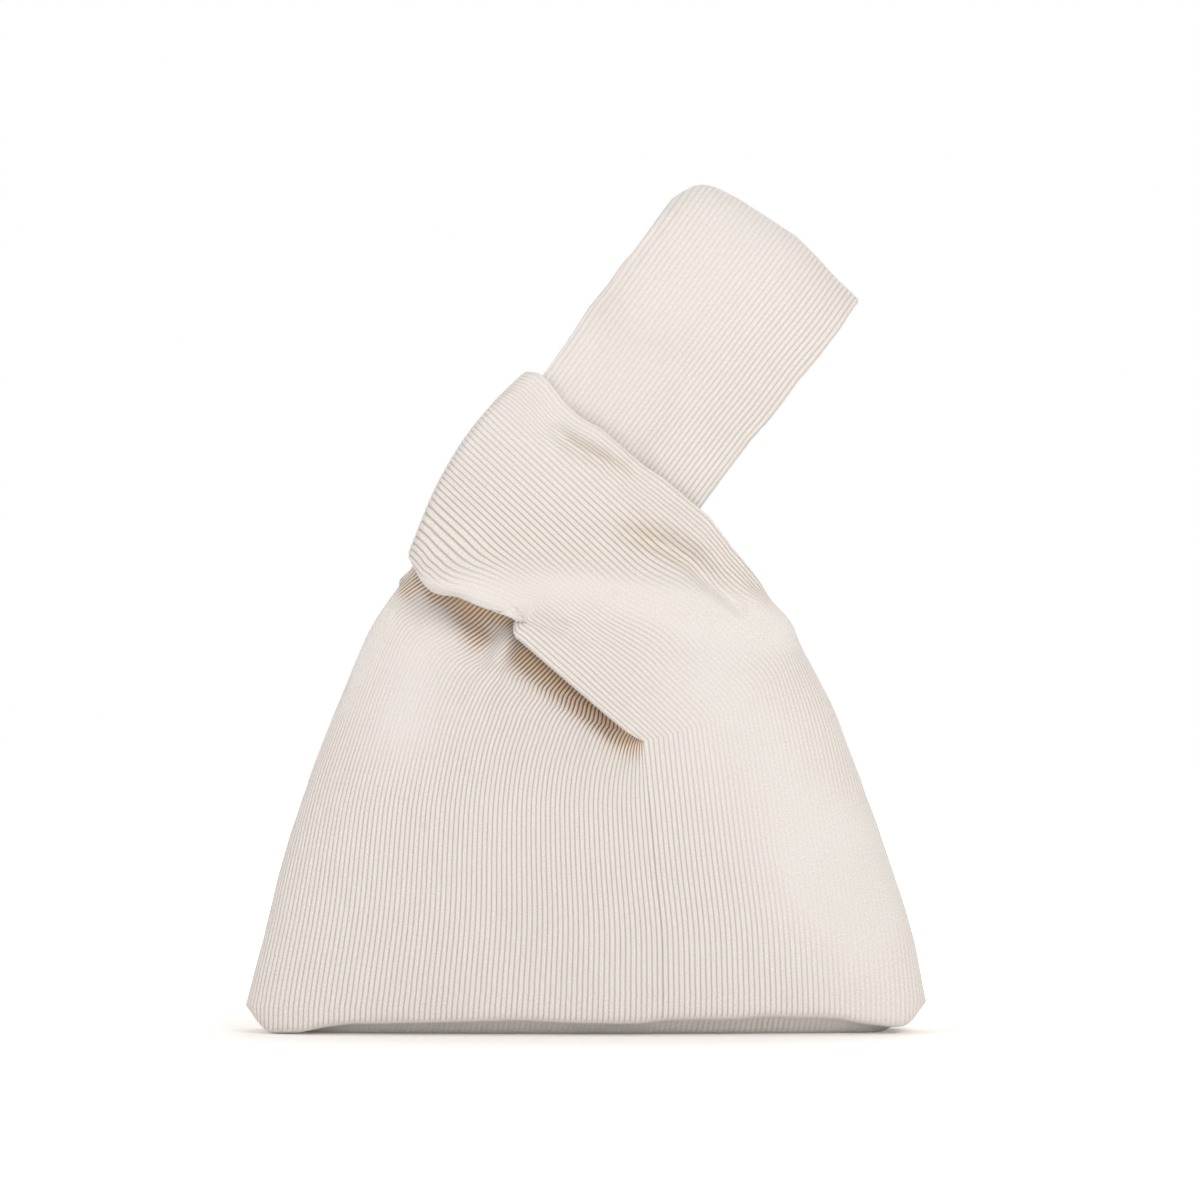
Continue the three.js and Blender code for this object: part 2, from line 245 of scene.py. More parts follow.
def wrap_point(u, v):
    """The front of the short handle: u from the fold (0) to the shoulder (2), v up from the lip."""
    u, v = np.broadcast_arrays(u, v)
    root = pouch_point(mix(NECKLINE_RIGHT, 1, v), 3.0 + 0 * v)
    from_p, from_q = knot_place(root)
    fold = -(mix(WRAP_FOLD_LOW, WRAP_FOLD_HIGH, v) + WRAP_FOLD_BELLY * hump(v))
    fold_along = mix(-WRAP_TOP_DROP - WRAP_LENGTH, -WRAP_TOP_DROP, v)
    knot_depth = mix(WRAP_MOUTH, WRAP_LIP, (1 - v) ** WRAP_FLARE)
    turn = np.clip(u, 0, 1) * math.pi / 2
    folded = knot_point(fold_along, fold + WRAP_FOLD_DEEP * (1 - np.cos(turn)),
                        -knot_depth * np.sin(turn))
    back = np.clip(2 - u, 0, 1)
    q = mix(from_q, fold + WRAP_FOLD_DEEP, back)
    p = mix(from_p, fold_along, 1 - (1 - back) ** WRAP_TURN)
    depth = mix(-root[..., 1], knot_depth, ease(back / WRAP_DEEP_BY))
    strap = knot_point(p, q, -depth)
    return np.where((u <= 1)[..., None], folded, strap)


# Corduroy of 14 wales to the inch. The cloth is laid out as rows of points across the piece, and
# then cut into columns that follow its wales, so that each wale is a real rib with its own shape.
WALE = 0.0254 / 14
WALE_RISE = 0.00042
WALE_STEPS = (0.0, 0.13, 0.31, 0.5, 0.69, 0.87)
RIB_ROUND = 0.8
UNEVEN_RIB = 0.14
UNEVEN_WALES = 0.9
UNEVEN_RUN = 0.006
NAP = 0.00007
NAP_WALES = 0.35
NAP_RUN = 0.0035
RIB_SEED = 3
# Shares of the pressed, painted-lighter pile: everywhere, at most, its loss of rib height, and on the
# underside, whose grooves are also painted lighter as painted light.
PRESSED_AND_PAINTED_LIGHT_ALL = 0.15
PRESSED_AND_PAINTED_LIGHT_MOST = 0.95
PRESSED_RISE = 0.75
PRESSED_AND_PAINTED_LIGHT_UNDER = 0.8
UNDER_SLOPE = -0.5
UNDER_TURN = 0.3
UNDER_HEIGHT = 0.02
UNDER_FADE = 0.01
ROW = 0.0017
RELAX_STEP = 0.25
BEND_EASE = 0.5
HELD_SHARE = 0.92
LATTICE = 64
LAST_WALE_CLEAR = 1e-5
ON_SEAM = 1e-6
WELD = 2e-6
NO_LENGTH = 1e-12
NO_ROW = 1e-9


def soft_noise(u, v, seed):
    """Smooth random values from -1 to 1 over a plane, about one change to each unit."""
    lattice = np.random.default_rng(seed).uniform(-1, 1, (LATTICE, LATTICE))
    iu, iv = np.floor(u).astype(int), np.floor(v).astype(int)
    fu, fv = ease(u - iu), ease(v - iv)
    iu, iv, next_u, next_v = (index % LATTICE for index in (iu, iv, iu + 1, iv + 1))
    low = mix(lattice[iu, iv], lattice[next_u, iv], fu)
    high = mix(lattice[iu, next_v], lattice[next_u, next_v], fu)
    return mix(low, high, fv)


def run_lengths(points, axis):
    steps = np.linalg.norm(np.diff(points, axis=axis), axis=-1)
    start = np.zeros_like(np.take(steps, [0], axis=axis))
    return np.concatenate([start, np.cumsum(steps, axis=axis)], axis=axis)


def settle(points, a, b, free, held, bends, passes):
    """Evens out the turns of a cloth along its columns: not at the neckline, hardly at its seam."""
    bending = ease(a / free) * (1 - HELD_SHARE * ease((a - held[0]) / held[1]))
    turning = ease((b - bends[0]) / BEND_EASE) * ease((bends[1] - b) / BEND_EASE)
    weights = bending * turning
    for _ in range(passes):
        bend = points[:, 2:] - 2 * points[:, 1:-1] + points[:, :-2]
        points[:, 1:-1] += RELAX_STEP * weights[:, 1:-1, None] * bend
    return points


def resample(line, places):
    rows = np.arange(line.shape[0])
    return np.stack([np.interp(places, rows, line[:, axis]) for axis in range(3)], axis=-1)


def wale_offsets(reach):
    count = int(reach / WALE) + 1
    offsets = (np.arange(count)[:, None] + np.array(WALE_STEPS)[None, :]).ravel() * WALE
    return offsets[offsets < reach - LAST_WALE_CLEAR]


def along_wales(points, wales, offsets):
    """Points on each wale line, one at each row of the cloth."""
    columns = np.arange(points.shape[0])
    lines = [resample(points[:, row], np.interp(offsets, wales[:, row], columns))
             for row in range(points.shape[1])]
    return np.stack(lines, axis=1)


def stretches(stops, counts):
    """Even steps from each stop to the next. The last stretch takes in its end."""
    parts = [np.linspace(a, b, count, endpoint=False) for a, b, count in zip(stops, stops[1:], counts)]
    parts[-1] = np.linspace(stops[-2], stops[-1], counts[-1])
    return np.concatenate(parts)


def hold_ends(wales, search):
    """Above its side seam no wale of a cloth ends: the wales so scaled, and the row where that starts."""
    low = ROOT_ROW - search
    last_cut = low + int(np.argmin(wales[-1, low:ROOT_ROW]))
    scale = np.where(np.arange(wales.shape[1]) > last_cut, wales[-1, last_cut] / wales[-1], 1)
    return wales * scale, last_cut


def cut_ends(limit, offset, last):
    """The first and last row, as fractions, where a cloth of this width holds the wale."""
    rows = np.arange(last + 1)
    held = limit[:last + 1] >= offset
    first, end = rows[held][0], rows[held][-1]
    start = float(first)
    if first > 0:
        start -= (limit[first] - offset) / (limit[first] - limit[first - 1])
    stop = float(end)
    if end < last:
        stop += (limit[end] - offset) / (limit[end] - limit[end + 1])
    return start, stop


def unit(vectors):
    return vectors / np.maximum(np.linalg.norm(vectors, axis=-1, keepdims=True), NO_LENGTH)


def roll_hem(columns, normals, radius, reach, offsets):
    """Columns past the first one of a cloth, where its edge is turned in and lies flat inside."""
    edge, normal = columns[0], normals[0]
    inward = columns[4] - edge
    inward = unit(inward - (inward * normal).sum(-1, keepdims=True) * normal)
    hem = []
    for length in offsets:
        turn = np.minimum(length / radius, math.pi)[:, None]
        flat = np.clip(length - math.pi * radius, 0, reach)[:, None]
        rolled = radius[:, None] * (np.sin(turn) * inward + (1 - np.cos(turn)) * normal)
        hem.append(edge - rolled + flat * inward)
    return np.array(hem)


def grid_faces(columns, rows, flip):
    index = np.arange(columns * rows).reshape(columns, rows)
    quads = np.stack([index[:-1, :-1], index[1:, :-1], index[1:, 1:], index[:-1, 1:]], -1).reshape(-1, 4)
    return quads[:, ::-1] if flip else quads


class Cloth:
    """Patches of one piece of cloth, welded where they share points."""

    def __init__(self):
        self.points, self.wales, self.lengths, self.faces = [], [], [], []
        self.size = 0

    def patch(self, points, wales, lengths, flip=False):
        columns, rows = points.shape[:2]
        self.faces.append(self.size + grid_faces(columns, rows, flip))
        self.points.append(points.reshape(-1, 3))
        self.wales.append(np.broadcast_to(wales, (columns, rows)).ravel())
        self.lengths.append(np.broadcast_to(lengths, (columns, rows)).ravel())
        self.size += columns * rows

    def weld(self):
        points = np.concatenate(self.points)
        keys = np.round(points / WELD).astype(np.int64)
        _, first, place = np.unique(keys, axis=0, return_index=True, return_inverse=True)
        quads = place.ravel()[np.concatenate(self.faces)]
        faces = []
        for quad in quads.tolist():
            corners = [corner for i, corner in enumerate(quad) if corner != quad[i - 1]]
            if len(set(corners)) == len(corners) > 2:
                faces.append(corners)
        return (points[first], np.concatenate(self.wales)[first],
                np.concatenate(self.lengths)[first], faces)


def vertex_normals(points, faces):
    corners = np.array([face if len(face) == 4 else face + [face[-1]] for face in faces])
    a, b, c, d = points[corners.T]
    face_normals = np.cross(c - a, d - b)
    normals = np.zeros_like(points)
    for column in corners.T:
        np.add.at(normals, column, face_normals)
    return normals


def make_piece(name, points, faces, uv, layer_name, material):
    mesh = bpy.data.meshes.new(name)
    mesh.from_pydata(points.tolist(), [], faces)
    layer = mesh.uv_layers.new(name=layer_name)
    corner_points = np.empty(len(mesh.loops), dtype=np.int32)
    mesh.loops.foreach_get("vertex_index", corner_points)
    layer.data.foreach_set("uv", uv[corner_points].astype(np.float32).ravel())
    mesh.shade_smooth()
    mesh.materials.append(material)
    mesh.update()
    piece = bpy.data.objects.new(name, mesh)
    bpy.context.scene.collection.objects.link(piece)
    return piece


def corduroy_piece(name, cloth, seams, mirror, painted_shade_lines=(), flattened_and_painted_light=()):
    """The finished cloth: its wales raised from its surface, and drawn in along its seams."""
    points, wales, lengths, faces = cloth.weld()
    normals = vertex_normals(points, faces)
    normals[np.abs(points[:, 1]) < ON_SEAM, 1] = 0
    normals = unit(normals)
    # The underside and the pressed places: ribs lowered, and grooves painted lighter, partly wear and partly
    # painted light.
    under = ease((UNDER_SLOPE - normals[:, 2]) / UNDER_TURN)
    under *= ease((UNDER_HEIGHT - points[:, 2]) / UNDER_FADE)
    pressed_and_painted_light = PRESSED_AND_PAINTED_LIGHT_ALL + fold_height(points, PRESSED_AND_PAINTED_LIGHT + flattened_and_painted_light) + PRESSED_AND_PAINTED_LIGHT_UNDER * under
    pressed_and_painted_light = np.clip(pressed_and_painted_light, 0, PRESSED_AND_PAINTED_LIGHT_MOST)
    rib = np.abs(np.sin(math.pi * wales / WALE)) ** RIB_ROUND
    uneven = 1 + UNEVEN_RIB * soft_noise(wales / WALE * UNEVEN_WALES, lengths / UNEVEN_RUN, RIB_SEED)
    height = WALE_RISE * (1 - PRESSED_RISE * pressed_and_painted_light) * (rib * uneven - 0.5)
    height += NAP * soft_noise(wales / WALE * NAP_WALES, lengths / NAP_RUN, RIB_SEED + 1)
    near = seams(points)
    depth = np.abs(points[:, 1])
    height *= 1 - near * (1 - ease(depth / SEAM_DRAWN))
    height -= near * SEAM_DITCH * bell(depth, DITCH_WIDTH * SEAM_DRAWN)
    points = points + normals * height[:, None]
    if mirror:
        points = points * np.array([1, -1, 1])
        faces = [face[::-1] for face in faces]
    uv = np.stack([wales, lengths], axis=-1) / WALE
    piece = make_piece(name, points, faces, uv, "Wales", corduroy)
    # Painted shade: how strongly the cloth is painted darker and warmer where the lips and folds cast their
    # shadow.
    painted_shade_share = np.clip(fold_height(points, painted_shade_lines), 0, 2)
    for label, values in (("PressedAndPaintedLight", pressed_and_painted_light), ("PaintedShade", painted_shade_share)):
        layer = piece.data.attributes.new(label, "FLOAT", "POINT")
        layer.data.foreach_set("value", values.astype(np.float32))
    return piece


def grid_normals(points, flip=False):
    normals = unit(np.cross(np.gradient(points, axis=0), np.gradient(points, axis=1)))
    return -normals if flip else normals


def fold_height(points, folds):
    x, z = points[..., 0], points[..., 2]
    height = np.zeros(points.shape[:-1])
    for line, width, stand in folds:
        nearest = np.full(x.shape, np.inf)
        for (x0, z0), (x1, z1) in zip(line, line[1:]):
            dx, dz = x1 - x0, z1 - z0
            along = np.clip(((x - x0) * dx + (z - z0) * dz) / (dx * dx + dz * dz), 0, 1)
            nearest = np.minimum(nearest, np.hypot(x - x0 - along * dx, z - z0 - along * dz))
        height += stand * bell(nearest, width)
    return height


def lay_wales(points, wales, last_cut, flip, hems, slant=None):
    """Cuts a cloth into its wale lines: all of them low down, and those that go on above."""
    cloth = Cloth()
    sign = -1 if flip else 1
    rows = np.arange(points.shape[1])
    limit = wales[-1]
    width = limit[-1]
    offsets = wale_offsets(limit[:last_cut + 1].max() - LAST_RIB_CLEAR)
    lines = along_wales(points, wales, offsets)
    lengths_at = run_lengths(points, 1).mean(axis=0)
    low_places = np.linspace(0, last_cut, int(lengths_at[last_cut] / ROW))
    low = np.empty((len(offsets), len(low_places), 3))
    low_lengths = np.empty(low.shape[:2])
    for k, offset in enumerate(offsets):
        start, stop = cut_ends(limit, offset, last_cut)
        places = start + (stop - start) * low_places / last_cut
        low[k] = resample(lines[k], places)
        low_lengths[k] = np.interp(places, rows, lengths_at)
        if stop < last_cut - NO_ROW:
            low[k, -1, 1] = 0
        if start > 0:
            low[k, 0, 1] = 0
    low[-1, :, 1] = 0
    cloth.patch(low, sign * offsets[:, None], low_lengths, flip)
    whole = offsets < width - LAST_WALE_CLEAR
    span = lengths_at - lengths_at[last_cut]
    high_places = np.unique(np.concatenate([
        np.linspace(last_cut, ROOT_ROW, 2 + int(span[ROOT_ROW] / ROW)),
        np.linspace(ROOT_ROW, rows[-1], int((span[-1] - span[ROOT_ROW]) / HIGH_ROW))]))
    lines = np.concatenate([lines[whole], points[-1][None]])
    high_offsets = np.append(offsets[whole], width)
    high = np.array([resample(line, high_places) for line in lines])
    high_lengths = np.interp(high_places, rows, lengths_at)
    high_wales = np.repeat(high_offsets[:, None], len(high_places), axis=1)
    if slant:
        high_wales = slant(high, high_wales, high_lengths - lengths_at[ROOT_ROW])
    cloth.patch(high, sign * high_wales, high_lengths[None], flip)
    above = high_places >= ROOT_ROW
    high, high_lengths = high[:, above], high_lengths[above]
    normals = grid_normals(high, flip)
    for side, (first, full, run), reach in hems:
        radius = mix(first, full, ease((high_lengths - high_lengths[0]) / run))
        turned = wale_offsets(math.pi * radius.max() + reach)
        turned = np.concatenate([turned[turned < HEM_CLOSE], turned[turned >= HEM_CLOSE][::3]])
        if side == "start":
            hem = roll_hem(high, normals, radius, reach, turned)
            hem_wales = -turned
        else:
            hem = roll_hem(high[::-1], normals[::-1], radius, reach, turned)
            hem_wales = width + turned
        hem[..., 1] = np.minimum(hem[..., 1], -HEM_CLEAR)
        at_fold = np.abs(high[:, -1, 1]).max() < ON_SEAM
        if at_fold:
            hem[:, -1, 1] = 0
        hem[0] = high[0] if side == "start" else high[-1]
        cloth.patch(hem, sign * hem_wales[:, None], high_lengths[None], flip == (side == "end"))
    return cloth


# The lip of the short handle: how far it is arched up from a straight line, at distances along it
# from the neckline, and how its edge turns under left of the pleat. The radius of a hem grows from
# the first value to the second over the third.
LIP_REACH = 0.012
LIP_ARCH = ((0, 0.056, 0.061, 0.07, 0.086, 0.099), (0, 0.0046, 0.0034, -0.0008, -0.004, -0.0034))
LIP_SOFTEN = np.linspace(-0.004, 0.004, 9)
PLEAT_AT = 0.0575
PLEAT_WIDTH = 0.003
CURL_WIDTH = 0.0076
CURL_TURN = 2.2
LEAST_CURL = 0.001
LIP_RADIUS = (0.0003, 0.0014, 0.008)
LIP_HEM = 0.0036
MOUTH_RADIUS = (0.0002, 0.0009, 0.01)
MOUTH_HEM = 0.003
MOUTH_REACH = 0.009
MOUTH_WAVE = ((0, 0.003, 0.008, 0.013, 0.02, 0.028, 0.036, 0.044, 0.054, 0.064, 0.076, 0.084, 0.096),
              (0, 0.002, 0.0036, 0.003, 0.001, 0.0002, 0.0014, 0.001, 0.0002, 0.001, 0.0012,
               0.0016, 0))
SLANT = math.radians(43)
SLANT_FROM = 0.028
SLANT_RUN = 0.03
SLANT_MIDDLE = (0.012, 0.06)
RIDGE_FOOT = 0.006
RIDGE_RUN = 0.026
MOUTH_FADE = 0.018
SEAM_DRAWN = 0.002
SEAM_DITCH = 0.0009
DITCH_WIDTH = 0.6
HIGH_ROW = 0.0008
LAST_RIB_CLEAR = 0.0002
HEM_CLOSE = 0.006
HEM_CLEAR = 0.0001


def curl_lip(points, shares):
    """Turns the stretch next to the lip in under itself, by a share of a full curl in each row."""
    reach = run_lengths(points, 0)
    normals = grid_normals(points)
    curled = points.copy()
    for row in np.nonzero(shares > LEAST_CURL)[0]:
        away = reach[:, row]
        start = np.searchsorted(away, CURL_WIDTH)
        out = unit(points[start, row] - points[start + 4, row])
        radius = CURL_WIDTH / (CURL_TURN * shares[row])
        left = (away[start] - away[:start])[:, None]
        turn = left / radius
        curled[:start, row] += out * (radius * np.sin(turn) - left)
        curled[:start, row] -= normals[start, row] * radius * (1 - np.cos(turn))
    return curled


# Folds of the worn cloth, each a soft line on the front, in or out of it: points (x, z), its width,
# and how far it stands out.
BAND_FOLDS = (
    (((-0.0529, 0.1502), (-0.0292, 0.1536), (-0.002, 0.1529), (0.0251, 0.1478), (0.0522, 0.142),
      (0.0668, 0.1376)), 0.007, 0.003),
    (((0.013, 0.169), (0.0268, 0.1655), (0.0353, 0.16), (0.043, 0.152), (0.052, 0.144)),
     0.0036, -0.0036),
    (((0.018, 0.179), (0.033, 0.1715), (0.043, 0.162), (0.056, 0.146)), 0.0042, 0.0024),
    (((-0.0105, 0.2035), (-0.002, 0.1975), (0.006, 0.1935)), 0.0024, -0.0022),
    (((-0.002, 0.205), (0.018, 0.1895)), 0.0042, 0.0022),
    (((-0.042, 0.176), (-0.012, 0.18)), 0.014, 0.0016),
    (((-0.0088, 0.1376), (0.0115, 0.1292)), 0.006, -0.0012),
    (((-0.0215, 0.141), (-0.008, 0.138)), 0.0022, -0.002),
    (((0.024, 0.123), (0.056, 0.121), (0.08, 0.109)), 0.011, 0.0012),
    (((0.02, 0.1668), (0.04, 0.159), (0.056, 0.149)), 0.0028, -0.0012),
    (((0.034, 0.166), (0.05, 0.157), (0.062, 0.147)), 0.0024, -0.0008),
    (((-0.006, 0.1985), (0.012, 0.1905)), 0.0026, -0.0012),
)
NECKLINE_FOLDS = (
    (((-0.0262, 0.131), (-0.036, 0.113)), 0.005, 0.003),
    (((-0.0245, 0.1345), (-0.03, 0.124)), 0.0034, 0.0042),
    (((-0.044, 0.149), (-0.033, 0.139)), 0.007, -0.0042),
    (((-0.015, 0.132), (0.0149, 0.103)), 0.005, -0.002),
)
# Painted shade in the cloth's colour, in the hollows under the lips where they cast their shadow: lines,
# widths and strengths. The band's creases take a little of it, and the back a weaker share.
PAINTED_SHADE = (
    (((-0.05, 0.1485), (-0.0268, 0.1406)), 0.0036, 2.2),
    (((-0.041, 0.142), (-0.0365, 0.134)), 0.0046, 1.4),
    (((-0.0612, 0.15), (-0.056, 0.153)), 0.0036, 1.1),
    (((-0.0195, 0.1278), (0.0155, 0.1005)), 0.0056, 2.3),
)
BAND_PAINTED_SHADE = (
    (((-0.006, 0.2), (0.013, 0.1915)), 0.004, 0.26),
    (((0.019, 0.1672), (0.042, 0.159), (0.062, 0.146)), 0.006, 0.22),
    (((-0.045, 0.169), (0.012, 0.164)), 0.018, 0.14),
)
BACK_SHADE_SHARE = 0.4
BACK_PAINTED_SHADE = tuple((line, width, BACK_SHADE_SHARE * share) for line, width, share in PAINTED_SHADE)
BODY_FOLDS = (
    (((0.021, 0.098), (0.0216, 0.086)), 0.006, -0.001),
    (((-0.03, 0.09), (-0.024, 0.03)), 0.016, -0.0016),
    (((0.064, 0.064), (0.09, 0.078)), 0.006, -0.0012),
    (((0.07, 0.08), (0.093, 0.07)), 0.005, 0.001),
    (((-0.062, 0.11), (-0.082, 0.06)), 0.01, 0.0014),
)
BACK_FOLDS = (
    (((-0.04, 0.156), (0.01, 0.144), (0.056, 0.129)), 0.008, 0.002),
    (((-0.016, 0.188), (0.012, 0.168)), 0.005, -0.0016),
    (((0.02, 0.1), (0.026, 0.07)), 0.007, -0.0018),
    (((-0.05, 0.1), (-0.038, 0.04)), 0.015, -0.0016),
    (((0.06, 0.09), (0.08, 0.05)), 0.012, 0.0014),
)
# Where the ribs hardly show: wear has pressed the pile flat, and its grooves are painted lighter,
# partly as painted light where the light falls brightest: lines, widths and shares.
PRESSED_AND_PAINTED_LIGHT = (
    (((-0.04, 0.15), (0, 0.15), (0.0668, 0.1376)), 0.0085, 0.75),
    (((0.045, 0.118), (0.08, 0.06)), 0.03, 0.75),
    (((0.095, 0.05), (0.1, 0.01)), 0.025, 0.6),
    (((-0.056, 0.128), (-0.062, 0.105)), 0.016, 0.7),
    (((0, 0.215), (0.058, 0.28)), 0.045, 0.66),
    (((-0.064, 0.15), (-0.082, 0.112)), 0.005, 0.5),
    (((-0.042, 0.172), (-0.005, 0.185)), 0.024, -0.15),
)
# The lip's rolled rim, pressed flat and painted lighter: partly wear, partly a painted highlight.
PRESSED_AND_PAINTED_LIGHT_LIP = (
    (((-0.0546, 0.1522), (-0.0444, 0.1471), (-0.0342, 0.1437), (-0.02, 0.143)), 0.0026, 0.8),
)
BODY_ROWS = (20, 24, 110)
ROOT_ROW = sum(BODY_ROWS)
RIGHT_ACROSS = stretches((0, 0.1, 1), (24, 150))
RIGHT_ALONG = stretches(range(6), (*BODY_ROWS, 120, 30))
RIGHT_SEARCH = 44
RIGHT_PASSES = 900
RIGHT_BENDS = (2.1, 4.6)
RIGHT_FREE = 0.22
RIGHT_HELD = (0.75, 0.25)
SEAM_FLAT = 0.08
FOLDS_FADE = 0.9
BAND_FROM = 3.1
BAND_RUN = 0.3
FAN_RIGHT = 0.1
FOLD_FOOT = 0.1


def right_cloth(folds):
    """The body right of the neckline, and on into the short handle up to its fold."""
    a, b = np.meshgrid(RIGHT_ACROSS, RIGHT_ALONG, indexing="ij")
    body = pouch_point(mix(NECKLINE_RIGHT, 1, a), np.minimum(b, 3))
    band = wrap_point(np.clip(5 - b, 0, 2), a)
    points = np.where((b <= 3)[..., None], body, band)
    points = settle(points, a, b, RIGHT_FREE, RIGHT_HELD, RIGHT_BENDS, RIGHT_PASSES)
    along = run_lengths(points[:, ROOT_ROW:], 1)[0]
    lip = np.concatenate([np.zeros(ROOT_ROW), along])
    arch = soft_table(lip, LIP_ARCH, LIP_SOFTEN)[None, :] * bell(run_lengths(points, 0), LIP_REACH)
    points = points + arch[..., None] * ALONG
    mouth = run_lengths(points[:, ROOT_ROW:], 1)[-1]
    to_fold = mouth[-1] - mouth
    wave = np.interp(np.concatenate([np.full(ROOT_ROW, to_fold[0]), to_fold]), *MOUTH_WAVE)
    reach = run_lengths(points, 0)
    wave = wave[None, :] * bell(reach[-1] - reach, MOUTH_REACH)
    points = points + wave[..., None] * ALONG
    heights = fold_height(points, folds) * ease((5 - b) / FOLDS_FADE)
    heights *= np.maximum(ease((1 - a) / SEAM_FLAT), ease((b - BAND_FROM) / BAND_RUN))
    points = points + grid_normals(points) * heights[..., None]
    points = curl_lip(points, ease((lip - PLEAT_AT + PLEAT_WIDTH / 2) / PLEAT_WIDTH))
    points[(a == 1) & (b <= 3), 1] = 0
    points[b == 5, 1] = 0
    return points


def slant_wales(points, wales, past):
    """Above its lip the fold's cloth lies with its wales along the mouth of the knot instead."""
    level = points[..., 0] * math.sin(SLANT) + points[..., 2] * math.cos(SLANT)
    middle = (wales > SLANT_MIDDLE[0]) & (wales < SLANT_MIDDLE[1]) & (past > SLANT_FROM)
    level = level + (wales - level)[middle].mean()
    share = ease((wales - RIDGE_FOOT) / RIDGE_RUN) * ease((wales[-1] - wales) / MOUTH_FADE)
    share = share * ease((past - SLANT_FROM) / SLANT_RUN)
    return wales + share * (level - wales)


def right_wales(points):
    """How far each point is from the neckline over the cloth, which fans out as it climbs."""
    return hold_ends(run_lengths(points, 0) * (1 + FAN_RIGHT * rise(points[..., 2])), RIGHT_SEARCH)


def side_seams(points):
    """Where a seam draws the cloth in: everywhere but at the fold of the short handle."""
    return np.where((points[:, 0] > 0) | (points[:, 2] < FOLD_FOOT), 1.0, 0.0)


# Cream cotton corduroy. The cut pile of the ribs is pale and matt with a soft sheen at grazing
# angles, and the ground between them is deeper and warmer: partly the colour of its weave, and
# partly painted shade in the grooves.
PILE = (0.8, 0.765, 0.735)
GROOVE_WEAVE_AND_SHADE = (0.52, 0.435, 0.37)
# Painted shade under the lips: a browner groove colour and a warm tint for the cloth in their shadow.
PAINTED_SHADE_GROUND = (0.275, 0.15, 0.062)
PAINTED_SHADE_TINT = (1.04, 0.87, 0.69)
SHEEN_TINT = (1.0, 0.96, 0.92, 1.0)
RIB_BRIGHT = 1.6
RIB_SOFT = 0.3
TUFTS_PER_WALE = (5.0, 3.2)
TUFT_SHADE = (0.6, 0.7)
PATCH_SCALE = 26.0
PATCH_SHADE = (0.06, 0.97)
PAINTED_SHADE_CONTRAST = 2.4
PAINTED_SHADE_NEAR = 0.4
PAINTED_SHADE_UNDER = 0.6
BUMP = 0.6
SPECULAR = 0.15
SHEEN_ROUGHNESS = 0.5


def cloth_group(name, colors):
    """A node group from some colours to one colour and a height."""
    group = bpy.data.node_groups.new(name, "ShaderNodeTree")
    for label, color in colors:
        socket = group.interface.new_socket(name=label, in_out="INPUT", socket_type="NodeSocketColor")
        socket.default_value = (*color, 1)
    for label, kind in (("Color", "NodeSocketColor"), ("Height", "NodeSocketFloat")):
        group.interface.new_socket(name=label, in_out="OUTPUT", socket_type=kind)
    return group, group.nodes.new("NodeGroupInput"), group.nodes.new("NodeGroupOutput")


def math_node(tree, operation, *values):
    node = tree.nodes.new("ShaderNodeMath")
    node.operation = operation
    for socket, value in zip(node.inputs, values):
        if isinstance(value, (int, float)):
            socket.default_value = value
        else:
            tree.links.new(value, socket)
    return node.outputs[0]


def noise_node(tree, vector, scale, detail):
    node = tree.nodes.new("ShaderNodeTexNoise")
    node.inputs["Scale"].default_value = scale
    node.inputs["Detail"].default_value = detail
    tree.links.new(vector, node.inputs["Vector"])
    return node.outputs["Fac"]


def blend_colors(tree, share, low, high, blend_type="MIX"):
    node = tree.nodes.new("ShaderNodeMix")
    node.data_type = "RGBA"
    node.blend_type = blend_type
    for socket, value in ((node.inputs[0], share), (node.inputs[6], low), (node.inputs[7], high)):
        if isinstance(value, (int, float)):
            socket.default_value = value
        elif isinstance(value, tuple):
            socket.default_value = (*value, 1)
        else:
            tree.links.new(value, socket)
    return node.outputs[2]


def sine_node(tree, value):
    return math_node(tree, "SINE", math_node(tree, "MULTIPLY", value, math.pi))


def uv_axes(tree, layer):
    place = tree.nodes.new("ShaderNodeUVMap")
    place.uv_map = layer
    split = tree.nodes.new("ShaderNodeSeparateXYZ")
    tree.links.new(place.outputs[0], split.inputs[0])
    return split.outputs[0], split.outputs[1], place.outputs[0]


def attribute_node(tree, label):
    node = tree.nodes.new("ShaderNodeAttribute")
    node.attribute_name = label
    return node.outputs["Fac"]


